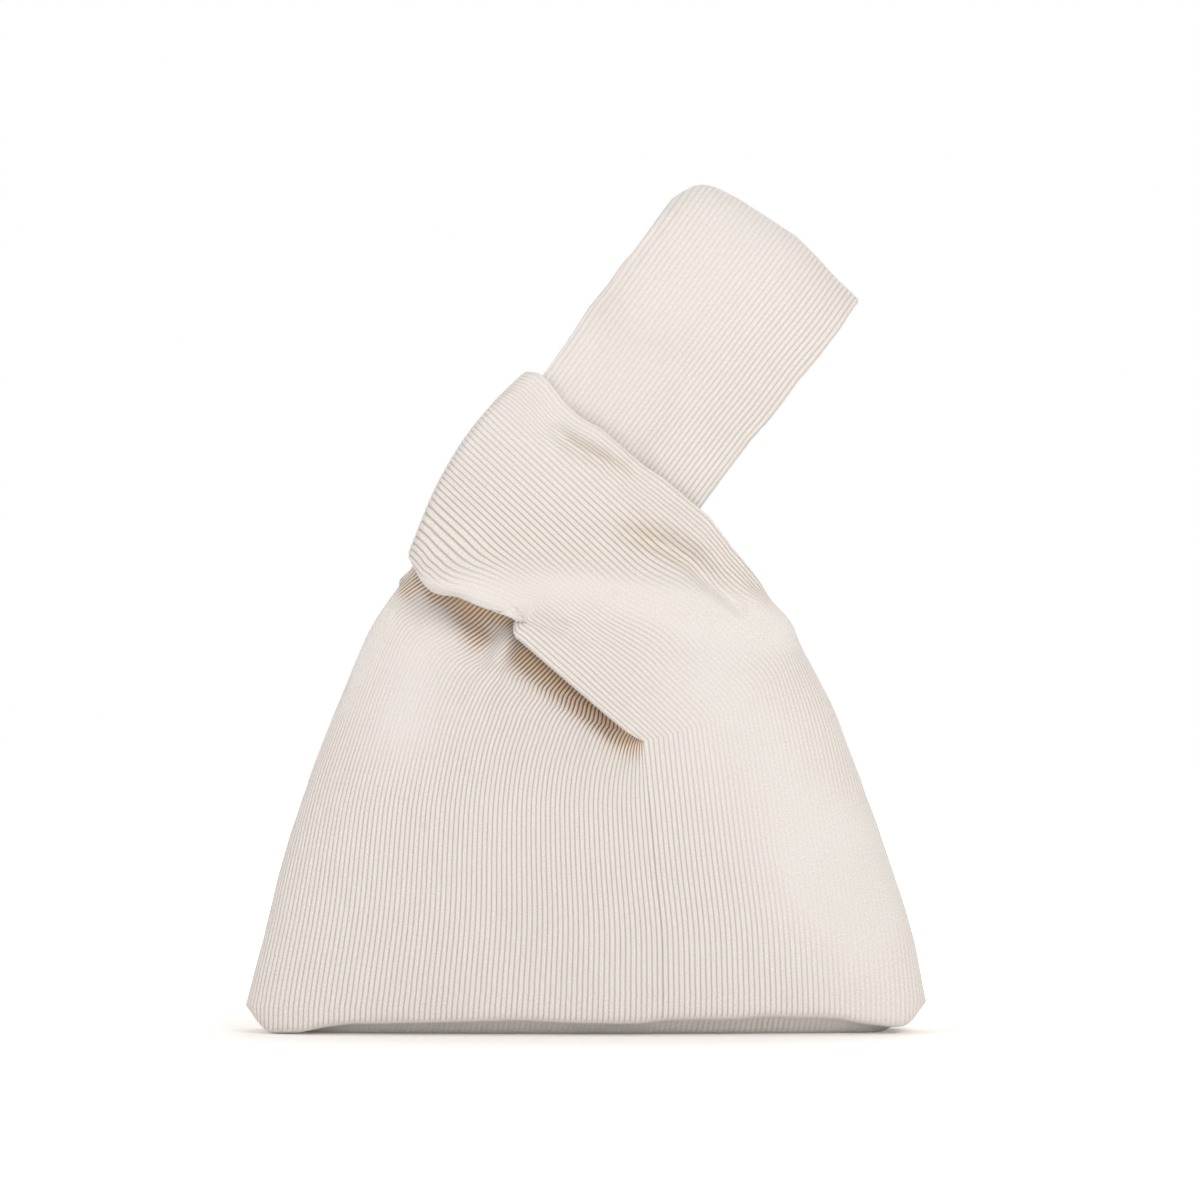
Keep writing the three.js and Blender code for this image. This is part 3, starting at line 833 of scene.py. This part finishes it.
def pile_group():
    """Ribs of cut pile, across the first UV axis: their colour with its painted shade and painted light, and
    the lie of their tufts.
    """
    group, source, sink = cloth_group("Cut pile ribs", (("Pile", PILE), ("GrooveWeaveAndShade", GROOVE_WEAVE_AND_SHADE)))
    across, along, _ = uv_axes(group, "Wales")
    rib = math_node(group, "ABSOLUTE", sine_node(group, across))
    # The grooves take the darker colour: partly the weave, partly painted shade.
    pile_share = math_node(group, "SMOOTH_MIN", math_node(group, "MULTIPLY", rib, RIB_BRIGHT), 1.0, RIB_SOFT)
    # Pressed places take the pile colour in their grooves: partly wear, partly painted light.
    pile_share = math_node(group, "MAXIMUM", pile_share, attribute_node(group, "PressedAndPaintedLight"))
    join = group.nodes.new("ShaderNodeCombineXYZ")
    for socket, axis, scale in zip(join.inputs, (across, along), TUFTS_PER_WALE):
        group.links.new(math_node(group, "MULTIPLY", axis, scale), socket)
    tufts = noise_node(group, join.outputs[0], 1.0, 2.0)
    object_place = group.nodes.new("ShaderNodeTexCoord").outputs["Object"]
    patches = noise_node(group, object_place, PATCH_SCALE, 3.0)
    # Painted shade: near the lips the grooves are painted deeper and browner, and under them the whole cloth
    # is tinted warm.
    shade = attribute_node(group, "PaintedShade")
    near_lip = math_node(group, "MINIMUM", shade, 1.0)
    under_lip = math_node(group, "MAXIMUM", math_node(group, "SUBTRACT", shade, 1.0), 0.0)
    pile_share = math_node(group, "POWER", pile_share, math_node(group, "MULTIPLY_ADD", near_lip, PAINTED_SHADE_CONTRAST, 1.0))
    low = blend_colors(group, near_lip, source.outputs["GrooveWeaveAndShade"], PAINTED_SHADE_GROUND)
    color = blend_colors(group, pile_share, low, source.outputs["Pile"])
    tuft_shade = math_node(group, "MULTIPLY_ADD", tufts, *TUFT_SHADE)
    patch_shade = math_node(group, "MULTIPLY_ADD", patches, *PATCH_SHADE)
    grain = math_node(group, "MULTIPLY", tuft_shade, patch_shade)
    color = blend_colors(group, 1.0, color, grain, "MULTIPLY")
    deep = blend_colors(group, 1.0, color, PAINTED_SHADE_TINT, "MULTIPLY")
    warm = math_node(group, "MULTIPLY", under_lip, PAINTED_SHADE_UNDER)
    warm = math_node(group, "MULTIPLY_ADD", near_lip, PAINTED_SHADE_NEAR, warm)
    color = blend_colors(group, warm, color, deep)
    group.links.new(color, sink.inputs["Color"])
    group.links.new(tufts, sink.inputs["Height"])
    return group


def cloth_material(name, group, roughness, sheen, bump_distance):
    material = bpy.data.materials.new(name)
    material.use_nodes = True
    tree = material.node_tree
    shader = tree.nodes["Principled BSDF"]
    cloth = tree.nodes.new("ShaderNodeGroup")
    cloth.node_tree = group
    bump = tree.nodes.new("ShaderNodeBump")
    bump.inputs["Strength"].default_value = BUMP
    bump.inputs["Distance"].default_value = bump_distance
    tree.links.new(cloth.outputs["Color"], shader.inputs["Base Color"])
    tree.links.new(cloth.outputs["Height"], bump.inputs["Height"])
    tree.links.new(bump.outputs["Normal"], shader.inputs["Normal"])
    for label, value in (("Roughness", roughness), ("Specular IOR Level", SPECULAR), ("Sheen Weight", sheen),
                         ("Sheen Roughness", SHEEN_ROUGHNESS), ("Sheen Tint", SHEEN_TINT)):
        shader.inputs[label].default_value = value
    return material


corduroy = cloth_material("corduroy", pile_group(), roughness=0.95, sheen=0.25, bump_distance=0.00025)


right_halves = {}
for side, folds, painted_shade_lines in (("front", BAND_FOLDS + BODY_FOLDS, BAND_PAINTED_SHADE), ("back", BACK_FOLDS, ())):
    points = right_halves[side] = right_cloth(folds)
    hems = (("start", LIP_RADIUS, LIP_HEM), ("end", MOUTH_RADIUS, MOUTH_HEM))
    cloth = lay_wales(points, *right_wales(points), False, hems, slant_wales)
    piece = corduroy_piece("corduroy_right_" + side, cloth, side_seams, side == "back", painted_shade_lines, PRESSED_AND_PAINTED_LIGHT_LIP)
    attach(piece, "pouch")
    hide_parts(f"outer_{side}_panel", f"short_handle_{side}")

# The pouch left of the neckline. The same cut of cloth, which narrows up into the root of the long
# handle and goes on inside the knot. Its wales lean with the cloth as the knot draws it right.
LEFT_ACROSS = stretches((0, 0.12, 0.9, 1), (30, 130, 20))
LEFT_ALONG = stretches(range(6), (*BODY_ROWS, 50, 24))
LEFT_SEARCH = 60
LEFT_PASSES = 500
LEFT_BENDS = (2.3, 3.9)
LEFT_FREE = 0.1
LEFT_HELD = (0.8, 0.2)
FAN_LEFT = 0.2
LEAN_SLOPE = 0.86
LEAN_FOOT = 0.074
LEAN_RUN = 0.048
LEAN_EASE = 0.0048
LEAN_LOST = 0.5
LEAN_LOST_FROM = 0.1
LEAN_LOST_RUN = 0.9
LEAN_TOP = 0.08
INSIDE_LOOP = 0.0006
NECK_BEND_FROM = -0.06
NECK_BEND_TO = -0.025


def left_cloth(folds):
    a, v = np.meshgrid(LEFT_ACROSS, LEFT_ALONG, indexing="ij")
    points = pouch_point(mix(NECKLINE_RIGHT, -1, a), v)
    points = settle(points, a, v, LEFT_FREE, LEFT_HELD, LEFT_BENDS, LEFT_PASSES)
    heights = fold_height(points, folds) * ease((4 - v) / FOLDS_FADE) * ease((1 - a) / SEAM_FLAT)
    points = points + grid_normals(points, True) * heights[..., None]
    points[..., 1] += INSIDE_LOOP * ease(v - 4)
    points[(a == 1) & (v <= 3), 1] = 0
    return points


def left_wales(points):
    away = run_lengths(points, 0)
    over = np.clip(points[..., 2] - LEAN_FOOT, 0, LEAN_TOP)
    lean = LEAN_SLOPE * np.where(over < LEAN_RUN, over ** 2 / (2 * LEAN_RUN), over - LEAN_RUN / 2)
    lean *= 1 - LEAN_LOST * ease((away / away[-1] - LEAN_LOST_FROM) / LEAN_LOST_RUN)
    wales = away * (1 + FAN_LEFT * rise(points[..., 2]))
    return hold_ends(wales + lean * (1 - np.exp(-away / LEAN_EASE)), LEFT_SEARCH)


def all_seams(points):
    return np.ones(len(points))


left_halves = {}
for side, folds, painted_shade_lines in (("front", BODY_FOLDS + NECKLINE_FOLDS, PAINTED_SHADE),
                             ("back", BACK_FOLDS, BACK_PAINTED_SHADE)):
    points = left_halves[side] = left_cloth(folds)
    hems = (("start", MOUTH_RADIUS, MOUTH_HEM), ("end", MOUTH_RADIUS, MOUTH_HEM))
    cloth = lay_wales(points, *left_wales(points), True, hems)
    piece = corduroy_piece("corduroy_left_" + side, cloth, all_seams, side == "back", painted_shade_lines)
    tuple(knot_point(NECK_BEND_FROM, 0, 0))
    tuple(knot_point(NECK_BEND_TO, 0, 0))
    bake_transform(piece)
    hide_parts(f"outer_{side}_panel", f"long_handle_neck_{side}")

# The wrist loop, the free part of the long handle. Two straps of the corduroy with turned edges
# are joined by a seam at the top, and stand a little apart so that a hand goes between them.
BEND_ALONG = 0.0092
LOOP_START = -0.014
BEND_HALF = 0.006
LOOP_LENGTH = 0.0845
LOOP_HALF = 0.013
LOOP_NOSE = 0.024
LOOP_TOP = ((-0.038, -0.035, -0.0325, -0.028, -0.019, 0.006, 0.0152, 0.0241, 0.0358),
            (-0.015, -0.0018, 0.002, 0.0046, 0.0064, 0.008, 0.0066, 0.0048, 0.0034))
TOP_SOFTEN = np.linspace(-0.003, 0.003, 9)
EDGE_WAVE = 0.0004
WAVE_RUN = 0.016
WAVE_SEED = 21
STRAP_HALF = 0.0358
STRAP_LENGTHS = (0, 0.023, 0.074, 0.104)
STRAP_ROWS = stretches(range(4), (22, 56, 36))
LEFT_TRIM = 0.0013
LEFT_TRIM_FROM = 0.055
LEFT_TRIM_RUN = 0.04
RIGHT_TRIM = ((0, 0.04, 0.046, 0.059, 0.075, 0.104), (0.0026, 0.0026, 0.0021, 0.0017, 0.0014, 0.0011))
EDGE_RADIUS = 0.0011
EDGE_HEM = 0.003
EDGE_SEAM_WIDTH = 0.0006
EDGE_SEAM_SPAN = (0.002, 0.08)
LOOP_SEAM_FROM = 0.235
EDGE_SEAMS = tuple((tuple(knot_point(p, q, 0)[::2] for p in EDGE_SEAM_SPAN), EDGE_SEAM_WIDTH, depth)
                   for q, depth in ((-0.0318, -0.0005), (0.0336, -0.0003)))
LOOP_FOLDS = EDGE_SEAMS + (
    (((0.005, 0.242), (0, 0.218)), 0.006, -0.0012),
    (((0.025, 0.226), (0.018, 0.202)), 0.007, -0.0012),
    (((0.033, 0.215), (0.026, 0.195)), 0.0045, 0.001),
    (((0.014, 0.244), (0.03, 0.238)), 0.009, 0.001),
)
LOOP_BACK_FOLDS = (
    (((0.01, 0.235), (0.006, 0.212)), 0.006, -0.0012),
    (((0.035, 0.23), (0.025, 0.205)), 0.006, -0.001),
)


def loop_point(q, s):
    """The front strap: q across, s from inside the knot (0) past the bend (1) to the top (3)."""
    q, s = np.broadcast_arrays(q, s)
    top = LOOP_LENGTH + soft_table(q, LOOP_TOP, TOP_SOFTEN)
    low = np.clip(s, 0, 1)
    up = np.clip(s - 1, 0, 1)
    turn = np.clip(s - 2, 0, 1) * math.pi / 2
    p = mix(LOOP_START, BEND_ALONG, low) + up * (top - LOOP_NOSE - BEND_ALONG)
    p = p + LOOP_NOSE * np.sin(turn)
    half = mix(neck_depth(q), LOOP_HALF, ease(up))
    half = np.where(s > 2, LOOP_HALF * np.cos(turn), half)
    return knot_point(p, q, -half)


def loop_strap(q, s, folds):
    points = loop_point(q, s)
    points = points + grid_normals(points) * (fold_height(points, folds) * ease(3 - s))[..., None]
    points[s == 3, 1] = 0
    return points


def loop_seams(points):
    return np.where(points[:, 2] > LOOP_SEAM_FROM, 1.0, 0.0)


def wavy_edge(q, s):
    along = np.interp(s, range(4), STRAP_LENGTHS)
    wave = soft_noise(along / WAVE_RUN, 2.0 + np.sign(q), WAVE_SEED) * EDGE_WAVE
    left_trim = LEFT_TRIM * (1 - ease((along - LEFT_TRIM_FROM) / LEFT_TRIM_RUN))
    wave = wave - np.where(q > 0, np.interp(along, *RIGHT_TRIM), left_trim)
    return q + wave * q / STRAP_HALF


loop_halves = {}
for side, folds in (("front", LOOP_FOLDS), ("back", LOOP_BACK_FOLDS)):
    offsets = np.append(wale_offsets(HANDLE_WIDTH), HANDLE_WIDTH)
    u, s = np.meshgrid(offsets, STRAP_ROWS, indexing="ij")
    points = loop_halves[side] = loop_strap(wavy_edge(u - HANDLE_WIDTH / 2, s), s, folds)
    lengths_at = run_lengths(points, 1).mean(axis=0)
    normals = grid_normals(points)
    radius = np.full(len(STRAP_ROWS), EDGE_RADIUS)
    turned = wale_offsets(math.pi * EDGE_RADIUS + EDGE_HEM)
    cloth = Cloth()
    cloth.patch(points, offsets[:, None], lengths_at[None])
    for edge, sign in ((slice(None), -1), (slice(None, None, -1), 1)):
        hem = roll_hem(points[edge], normals[edge], radius, EDGE_HEM, turned)
        hem[0] = points[edge][0]
        hem[..., 1] = np.minimum(hem[..., 1], 0)
        hem[:, -1, 1] = 0
        start = 0 if sign < 0 else HANDLE_WIDTH
        cloth.patch(hem, start + sign * turned[:, None], lengths_at[None], sign < 0)
    piece = corduroy_piece("corduroy_loop_" + side, cloth, loop_seams, side == "back")
    tuple(knot_point(BEND_ALONG - BEND_HALF, 0, 0))
    tuple(knot_point(BEND_ALONG + BEND_HALF, 0, 0))
    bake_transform(piece)
    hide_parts(f"wrist_loop_{side}", f"long_handle_neck_{side}")

# The lining. Plain woven cotton, cut like the corduroy and hung loose inside it, with its edges
# caught under the turned corduroy at the lips and along the handles.
LINING_IN = 0.0029
LIP_ALLOWANCE = 0.14
MOUTH_ALLOWANCE = 0.08
MOUTH_LINING_IN = 0.0016
LINING_GAP = 0.00005
STRAP_CLEAR = 0.0046
STRAP_CLEAR_END = 4.85
SQUEEZED_IN = 0.006
SQUEEZED_RUN = 0.5
LOOP_LINING_IN = 0.0026
LINING_COLUMNS = 44
ALLOWANCE_RUN = 0.25
PAST_ROOT = 3.2
MOUTH_FROM = 0.6
MOUTH_RUN = 0.3
THREAD = 0.00045
LINEN_LIGHT = (0.78, 0.7, 0.61)
LINEN_DARK = (0.6, 0.51, 0.42)
SLUB_SCALE = 0.7
SLUB_SHADE = (0.6, -0.1)


def weave_group():
    """Plain weave: threads over and under each other along both UV axes."""
    group, source, sink = cloth_group("Plain weave", (("Thread", LINEN_LIGHT), ("Gap", LINEN_DARK)))
    across, along, place = uv_axes(group, "Threads")
    crossing = math_node(group, "MULTIPLY", sine_node(group, across), sine_node(group, along))
    height = math_node(group, "ABSOLUTE", crossing)
    slubs = noise_node(group, place, SLUB_SCALE, 2.0)
    share = math_node(group, "ADD", height, math_node(group, "MULTIPLY_ADD", slubs, *SLUB_SHADE))
    color = blend_colors(group, share, source.outputs["Gap"], source.outputs["Thread"])
    group.links.new(color, sink.inputs["Color"])
    group.links.new(height, sink.inputs["Height"])
    return group


lining = cloth_material("lining", weave_group(), roughness=0.85, sheen=0.1, bump_distance=0.0001)


def lining_piece(name, points, depth, mirror, flip, clear=LINING_GAP):
    inside = points - grid_normals(points, flip) * np.asarray(depth)[..., None]
    inside[..., 1] = np.minimum(inside[..., 1], -clear)
    faces = grid_faces(*inside.shape[:2], flip != mirror)
    uv = np.stack([run_lengths(inside, 0).ravel(), run_lengths(inside, 1).ravel()], axis=-1) / THREAD
    inside = inside.reshape(-1, 3) * np.array([1, -1 if mirror else 1, 1])
    return make_piece(name, inside, faces.tolist(), uv, "Threads", lining)


def lining_rows(points):
    """Every third row of the right-hand cloth, held back from the lip and mouth of the short handle."""
    rows = []
    for row in range(0, points.shape[1], 3):
        above = ease((RIGHT_ALONG[row] - 3) / ALLOWANCE_RUN)
        across = np.linspace(LIP_ALLOWANCE * above, 1 - MOUTH_ALLOWANCE * above, LINING_COLUMNS)
        line = [np.interp(across, RIGHT_ACROSS, points[:, row, axis]) for axis in range(3)]
        rows.append(np.stack(line, axis=-1))
    return np.array(rows).swapaxes(0, 1)


for side in ("front", "back"):
    mirror = side == "back"
    points = lining_rows(right_halves[side])
    along = RIGHT_ALONG[::3]
    near_mouth = ease((np.linspace(0, 1, LINING_COLUMNS)[:, None] - MOUTH_FROM) / MOUTH_RUN)
    near_mouth = ease((along - PAST_ROOT) / MOUTH_RUN) * near_mouth
    depth = mix(LINING_IN, MOUTH_LINING_IN, near_mouth)
    clear = mix(LINING_GAP, STRAP_CLEAR, near_mouth * ease((STRAP_CLEAR_END - along) / ALLOWANCE_RUN))
    piece = lining_piece("lining_right_" + side, points, depth, mirror, False, clear)
    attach(piece, "pouch")
    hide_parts(f"lining_{side}_panel", f"short_handle_{side}_lining")
    points = left_halves[side][::4, ::3]
    depth = LINING_IN + SQUEEZED_IN * ease((LEFT_ALONG[::3] - PAST_ROOT) / SQUEEZED_RUN)
    piece = lining_piece("lining_left_" + side, points, depth, mirror, True)
    tuple(knot_point(NECK_BEND_FROM, 0, 0))
    tuple(knot_point(NECK_BEND_TO, 0, 0))
    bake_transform(piece)
    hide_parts(f"lining_{side}_panel", f"long_handle_neck_{side}_lining")
    points = loop_halves[side][4:-4:4, ::2]
    piece = lining_piece("lining_loop_" + side, points, LOOP_LINING_IN, mirror, False)
    tuple(knot_point(BEND_ALONG - BEND_HALF, 0, 0))
    tuple(knot_point(BEND_ALONG + BEND_HALF, 0, 0))
    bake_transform(piece)
    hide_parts(f"wrist_loop_{side}_lining", f"long_handle_neck_{side}_lining")

# Seam allowances, pressed open between the corduroy and the lining.
ALLOWANCE = 0.006
ALLOWANCE_IN = 0.0022
SIDE_ROWS = slice(44, 150, 3)
BASE_ROWS = slice(20)
LOOP_COLUMNS = slice(6, -6, 3)


def allowance(name, edge_lines, node, body):
    """A strip of the corduroy under a seam, from lines of points that run away from it."""
    cloth = Cloth()
    for mirror in (1, -1):
        lines = edge_lines.copy()
        lines[..., 1] *= mirror
        cloth.patch(lines, run_lengths(lines, 0), run_lengths(lines, 1), mirror < 0)
    points, wales, lengths, faces = cloth.weld()
    piece = make_piece(name, points, faces, np.stack([wales, lengths], -1) / WALE, "Wales", corduroy)
    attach(piece, body)
    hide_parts(node)


def strip_in(cloth, axis):
    """The first stretch of cloth from its first line, at the depth of a seam allowance."""
    points, normals = cloth
    reach = run_lengths(points, axis)
    if axis == 1:
        points, normals, reach = points.swapaxes(0, 1), normals.swapaxes(0, 1), reach.T
    count = int((reach.min(axis=1) < ALLOWANCE).sum())
    strip = points[:count] - normals[:count] * ALLOWANCE_IN
    strip[0, :, 1] = 0
    strip[1:, :, 1] = np.minimum(strip[1:, :, 1], 0)
    return strip


right, left, loop = (np.stack([halves["front"], grid_normals(halves["front"], halves is left_halves)])
                     for halves in (right_halves, left_halves, loop_halves))
for side, half in (("right", right), ("left", left)):
    allowance(side + "_side_allowance", strip_in(half[:, ::-1, SIDE_ROWS], 0), side + "_side_seam", "pouch")
low = np.concatenate([left[:, ::-3, BASE_ROWS], right[:, 3::3, BASE_ROWS]], axis=1)
allowance("bottom_allowance", strip_in(low, 1), "bottom_seam", "pouch")
allowance("fold_allowance", strip_in(right[:, 4::3, ::-1], 1), "short_handle_seam", "pouch")
allowance("loop_allowance", strip_in(loop[:, LOOP_COLUMNS, ::-1], 1), "wrist_loop_seam", "wrist_loop")

# Studio: a white floor with a soft contact shadow, one large soft lamp at the right and front, and
# even light from all round. Near the bag the contact shadow is partly painted: the floor's glow,
# seen only by the camera, is dimmed and warmed around the bag's footprint.
PAPER = (0.94, 0.92, 0.9, 1)
FOOTPRINT = (0.11, 0.05, 1)
PAINTED_SHADOW_GLOW_RANGE = (1.0, 10.0, 0.15, 1.6)
PAINTED_SHADOW_TINT = (1.0, 0.96, 0.93)
WHITE = (1.0, 1.0, 1.0)
AIR_RANGE = (-0.35, 0.45, 0.42, 0.85)
AIR_SEEN = (1.0, 0.975, 0.955)
BAG_MIDDLE = (0, 0, 0.12)


def range_node(tree, value, limits, kind="LINEAR"):
    """Takes values between the first two limits to values between the last two."""
    node = tree.nodes.new("ShaderNodeMapRange")
    node.interpolation_type = kind
    for label, limit in zip(("From Min", "From Max", "To Min", "To Max"), limits):
        node.inputs[label].default_value = limit
    tree.links.new(value, node.inputs["Value"])
    return node.outputs[0]


bpy.ops.mesh.primitive_plane_add(size=6, location=(0, 0, 0))
floor = bpy.context.object
floor.name = "floor"
paper = bpy.data.materials.new("white paper floor")
paper.use_nodes = True
nodes, links = paper.node_tree.nodes, paper.node_tree.links
matt = nodes["Principled BSDF"]
matt.inputs["Base Color"].default_value = PAPER
matt.inputs["Roughness"].default_value = 1.0
matt.inputs["Specular IOR Level"].default_value = 0.0
glow = nodes.new("ShaderNodeEmission")
rays = nodes.new("ShaderNodeLightPath").outputs
seen = math_node(paper.node_tree, "MAXIMUM", rays["Is Camera Ray"], rays["Is Glossy Ray"])
place = nodes.new("ShaderNodeTexCoord")
footprint = nodes.new("ShaderNodeVectorMath")
footprint.operation = "DIVIDE"
footprint.inputs[1].default_value = FOOTPRINT
links.new(place.outputs["Object"], footprint.inputs[0])
away = nodes.new("ShaderNodeVectorMath")
away.operation = "LENGTH"
links.new(footprint.outputs[0], away.inputs[0])
# Painted shadow: the camera-seen glow is low and warm near the bag's footprint, white further out.
near = range_node(paper.node_tree, away.outputs["Value"], PAINTED_SHADOW_GLOW_RANGE)
links.new(math_node(paper.node_tree, "MULTIPLY", seen, near), glow.inputs["Strength"])
links.new(blend_colors(paper.node_tree, near, PAINTED_SHADOW_TINT, WHITE), glow.inputs["Color"])
both = nodes.new("ShaderNodeAddShader")
links.new(matt.outputs[0], both.inputs[0])
links.new(glow.outputs[0], both.inputs[1])
links.new(both.outputs[0], nodes["Material Output"].inputs["Surface"])
floor.data.materials.append(paper)

world = bpy.data.worlds.new("studio")
bpy.context.scene.world = world
world.use_nodes = True
nodes, links = world.node_tree.nodes, world.node_tree.links
air = nodes["Background"]
place = nodes.new("ShaderNodeTexCoord")
split = nodes.new("ShaderNodeSeparateXYZ")
links.new(place.outputs["Generated"], split.inputs[0])
around = range_node(world.node_tree, split.outputs[1], AIR_RANGE, "SMOOTHSTEP")
seen = nodes.new("ShaderNodeLightPath").outputs["Is Camera Ray"]
links.new(math_node(world.node_tree, "MAXIMUM", around, seen), air.inputs["Strength"])
links.new(blend_colors(world.node_tree, seen, AIR_SEEN, WHITE), air.inputs["Color"])


def lamp(name, place, aim, size, power, color):
    bpy.ops.object.light_add(type="AREA", location=place)
    light = bpy.context.object
    light.name = name
    light.data.size = size
    light.data.energy = power
    light.data.color = color
    x, y, z = (a - b for a, b in zip(aim, place))
    light.rotation_euler = (math.atan2(math.hypot(x, y), -z), 0, math.atan2(x, -y) + math.pi)


lamp("key", (0.75, -1.45, 1.15), BAG_MIDDLE, 0.7, 10.8, (1.0, 0.985, 0.965))
lamp("fill", (-1.3, -0.9, 1.0), BAG_MIDDLE, 1.4, 5.8, (0.98, 0.99, 1.0))
lamp("low", (0.1, -1.7, 0.08), (0.02, 0, 0.03), 0.6, 7.0, (0.99, 0.98, 0.99))
lamp("back", (0.3, 1.5, 1.2), BAG_MIDDLE, 1.4, 8.2, (1.0, 0.98, 0.96))

# The photograph is 1200 pixels across, 0.339 mm each at the bag, and the bag stands on its row
# 1031 with its middle at column 586.
PIXEL = 0.000339
PICTURE = 1200
BAG_COLUMN = 586
BAG_ROW = 1031
VIEW_MIDDLE = ((PICTURE / 2 - BAG_COLUMN) * PIXEL, (BAG_ROW - PICTURE / 2) * PIXEL)
DISTANCE = 2.2
SENSOR = 36
bpy.ops.object.camera_add(location=(VIEW_MIDDLE[0], -DISTANCE, VIEW_MIDDLE[1]),
                          rotation=(math.pi / 2, 0, 0))
camera = bpy.context.object
camera.data.sensor_width = SENSOR
camera.data.lens = SENSOR * DISTANCE / (PICTURE * PIXEL)
bpy.context.scene.camera = camera
bpy.context.scene.view_settings.view_transform = "Standard"
